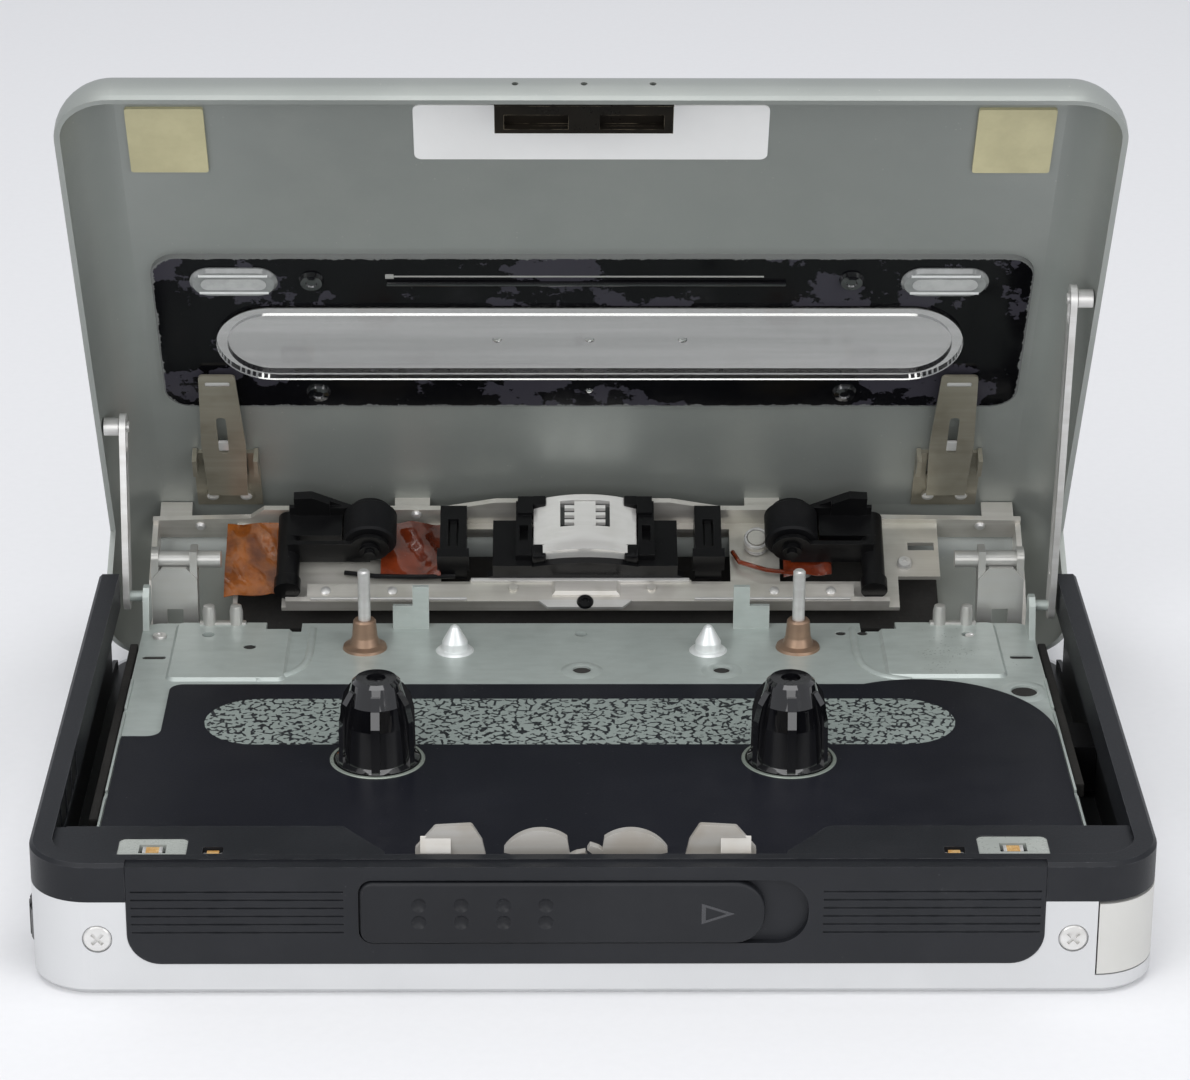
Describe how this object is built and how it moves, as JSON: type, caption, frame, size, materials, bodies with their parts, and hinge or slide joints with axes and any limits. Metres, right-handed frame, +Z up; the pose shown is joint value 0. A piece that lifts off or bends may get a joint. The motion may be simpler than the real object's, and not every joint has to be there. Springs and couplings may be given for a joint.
{
  "type": "portable cassette player",
  "caption": "Slim flat cassette player with a hinged metal lid, splined reel spindles, capstans, lid-carried tape head, pinch rollers, sliding catch knob and battery door.",
  "frame": {"origin": "centre of the flat bottom face of the case", "axes": "+X to the user's right, +Y to the hinge at the back, +Z up; the front face with the knob looks along -Y"},
  "size_m": [0.109, 0.0917, 0.0765],
  "materials": {
    "case_silver": "satin",
    "lid_metal": "fine satin",
    "frame_black": "satin",
    "panel_black": "satin",
    "steel": "nickel plated",
    "deck_green": "satin",
    "plate_black": "satin",
    "gloss_black": "glossy",
    "black_plastic": "moulded",
    "white_plastic": "moulded",
    "lamp": "chip",
    "bronze": "sintered",
    "rubber": "ground",
    "clear": "clear plastic",
    "pad": "foam tape",
    "label_white": "paper",
    "film_amber": "film",
    "board": "lacquered"
  },
  "bodies": {
    "base": {"lower_case": "case_silver", "middle_frame": "frame_black", "front_panel": "panel_black", "latch_bracket": "steel", "indicator_lenses": "white_plastic", "indicator_lamps": "lamp", "case_screws": "steel", "chassis_plate": "deck_green", "label_plate": "plate_black", "capstan_bearings": "bronze", "locating_pins": "steel", "hinge_brackets": "steel", "hinge_pins": "steel", "drive_motor": "steel", "idler_post": "steel", "drive_belt": "rubber", "main_board": "board", "battery_contact": "steel", "headphone_jack": "black_plastic"},
    "lid": {"lid_shell": "lid_metal", "window_panel": "gloss_black", "window_lens": "clear", "light_prisms": "clear", "catch_strip": "steel", "lid_pads": "pad", "blank_label": "label_white", "mechanism_frame": "steel", "hold_down_springs": "steel", "tape_guides": "black_plastic", "azimuth_screw": "steel", "flex_film": "film_amber", "link_pins": "steel"},
    "head_carriage": {"tape_head": "steel", "head_mount": "black_plastic"},
    "pinch_arm_left": {"pinch_arm_left": "black_plastic"},
    "pinch_arm_right": {"pinch_arm_right": "black_plastic"},
    "pinch_roller_left": {"pinch_roller_left": "rubber"},
    "pinch_roller_right": {"pinch_roller_right": "rubber"},
    "reel_left": {"reel_spindle_left": "gloss_black", "reel_gear_left": "white_plastic"},
    "reel_right": {"reel_spindle_right": "gloss_black", "reel_gear_right": "white_plastic"},
    "capstan_left": {"capstan_shaft_left": "steel", "flywheel_left": "steel"},
    "capstan_right": {"capstan_shaft_right": "steel", "flywheel_right": "steel"},
    "motor_pulley": {"motor_pulley": "white_plastic"},
    "idler_pulley": {"idler_pulley": "white_plastic"},
    "open_knob": {"open_knob": "panel_black", "latch_slide": "steel"},
    "latch_hook_left": {"latch_hook_left": "steel"},
    "latch_hook_right": {"latch_hook_right": "steel"},
    "battery_door": {"battery_door": "white_plastic"},
    "volume_wheel": {"volume_wheel": "black_plastic"},
    "stay_link_left": {"stay_link_left": "steel"},
    "stay_link_right": {"stay_link_right": "steel"},
    "rewind_key": {"rewind_key": "black_plastic"},
    "stop_key": {"stop_key": "black_plastic"},
    "play_key": {"play_key": "black_plastic"},
    "forward_key": {"forward_key": "black_plastic"}
  },
  "joints": [
    {"name": "lid_hinge", "type": "hinge", "parent": "base", "child": "lid", "pos_m": [0, 0.03785, 0.0034], "axis": [1, 0, 0], "range_deg": [0, 58.8]},
    {"name": "head_slide", "type": "slide", "parent": "lid", "child": "head_carriage", "axis": [0, -0.518, 0.8554], "range_m": [0, 0.002], "stiffness_N_per_m": 120, "springref_m": -0.0002},
    {"name": "knob_slide", "type": "slide", "parent": "base", "child": "open_knob", "axis": [1, 0, 0], "range_m": [0, 0.004], "stiffness_N_per_m": 150, "springref_m": -0.001},
    {"name": "battery_door_hinge", "type": "hinge", "parent": "base", "child": "battery_door", "pos_m": [0.0534, -0.0209, 0.006], "axis": [0, 0, 1], "range_deg": [0, 90]},
    {"name": "volume_turn", "type": "hinge", "parent": "base", "child": "volume_wheel", "pos_m": [-0.0484, -0.0302, 0.004], "axis": [0, 0, 1], "range_deg": [-150, 150]},
    {"name": "capstan_left_spin", "type": "hinge", "parent": "base", "child": "capstan_left", "pos_m": [-0.02458, 0.02572, 0.008], "axis": [0, 0, 1], "continuous": true},
    {"name": "capstan_right_spin", "type": "hinge", "parent": "base", "child": "capstan_right", "pos_m": [0.02302, 0.02572, 0.008], "axis": [0, 0, 1], "continuous": true},
    {"name": "motor_spin", "type": "hinge", "parent": "base", "child": "motor_pulley", "pos_m": [-0.00078, 0.0185, 0.0055], "axis": [0, 0, 1], "continuous": true},
    {"name": "idler_spin", "type": "hinge", "parent": "base", "child": "idler_pulley", "pos_m": [0.0365, 0.0205, 0.0055], "axis": [0, 0, 1], "continuous": true},
    {"name": "reel_left_spin", "type": "hinge", "parent": "base", "child": "reel_left", "pos_m": [-0.02203, -0.00376, 0.008], "axis": [0, 0, 1], "continuous": true},
    {"name": "reel_right_spin", "type": "hinge", "parent": "base", "child": "reel_right", "pos_m": [0.02047, -0.00376, 0.008], "axis": [0, 0, 1], "continuous": true},
    {"name": "latch_hook_left_turn", "type": "hinge", "parent": "base", "child": "latch_hook_left", "pos_m": [-0.00508, -0.0361, 0.0116], "axis": [0, 1, 0], "range_deg": [0, 24.1]},
    {"name": "pinch_arm_left_turn", "type": "hinge", "parent": "lid", "child": "pinch_arm_left", "pos_m": [-0.03378, 0.04218, 0.01286], "axis": [0, -0.8554, -0.518], "range_deg": [0, 4.5], "stiffness_Nm_per_rad": 0.02, "springref_deg": -1.15},
    {"name": "pinch_roller_left_spin", "type": "hinge", "parent": "pinch_arm_left", "child": "pinch_roller_left", "pos_m": [-0.02458, 0.04165, 0.0145], "axis": [0, 0.8554, 0.518], "continuous": true},
    {"name": "latch_hook_right_turn", "type": "hinge", "parent": "base", "child": "latch_hook_right", "pos_m": [0.00352, -0.0361, 0.0116], "axis": [0, -1, 0], "range_deg": [0, 24.1]},
    {"name": "pinch_arm_right_turn", "type": "hinge", "parent": "lid", "child": "pinch_arm_right", "pos_m": [0.03222, 0.04218, 0.01286], "axis": [0, 0.8554, 0.518], "range_deg": [0, 4.5], "stiffness_Nm_per_rad": 0.02, "springref_deg": -1.15},
    {"name": "pinch_roller_right_spin", "type": "hinge", "parent": "pinch_arm_right", "child": "pinch_roller_right", "pos_m": [0.02302, 0.04165, 0.0145], "axis": [0, 0.8554, 0.518], "continuous": true},
    {"name": "stay_link_left_turn", "type": "hinge", "parent": "base", "child": "stay_link_left", "pos_m": [-0.0512, 0.03274, 0.0109], "axis": [1, 0, 0], "range_deg": [0, 85.65]},
    {"name": "stay_link_right_turn", "type": "hinge", "parent": "base", "child": "stay_link_right", "pos_m": [0.0512, 0.03004, 0.0109], "axis": [1, 0, 0], "range_deg": [0, 74.82]},
    {"name": "rewind_key_press", "type": "slide", "parent": "base", "child": "rewind_key", "axis": [1, 0, 0], "range_m": [0, 0.0002], "stiffness_N_per_m": 2000, "springref_m": -0.0001},
    {"name": "stop_key_press", "type": "slide", "parent": "base", "child": "stop_key", "axis": [1, 0, 0], "range_m": [0, 0.0002], "stiffness_N_per_m": 2000, "springref_m": -0.0001},
    {"name": "play_key_press", "type": "slide", "parent": "base", "child": "play_key", "axis": [1, 0, 0], "range_m": [0, 0.0002], "stiffness_N_per_m": 2000, "springref_m": -0.0001},
    {"name": "forward_key_press", "type": "slide", "parent": "base", "child": "forward_key", "axis": [1, 0, 0], "range_m": [0, 0.0002], "stiffness_N_per_m": 2000, "springref_m": -0.0001}
  ],
  "couplings": [
    {"joint": "capstan_right_spin", "follows": "capstan_left_spin", "ratio": -1},
    {"joint": "motor_spin", "follows": "capstan_left_spin", "ratio": 2.75},
    {"joint": "idler_spin", "follows": "capstan_left_spin", "ratio": 2.75},
    {"joint": "latch_hook_left_turn", "follows": "knob_slide", "rad_per_m": 104.72},
    {"joint": "stay_link_left_turn", "follows": "lid_hinge", "ratio": 1.4558},
    {"joint": "latch_hook_right_turn", "follows": "knob_slide", "rad_per_m": 104.72},
    {"joint": "stay_link_right_turn", "follows": "lid_hinge", "ratio": 1.2715}
  ]
}
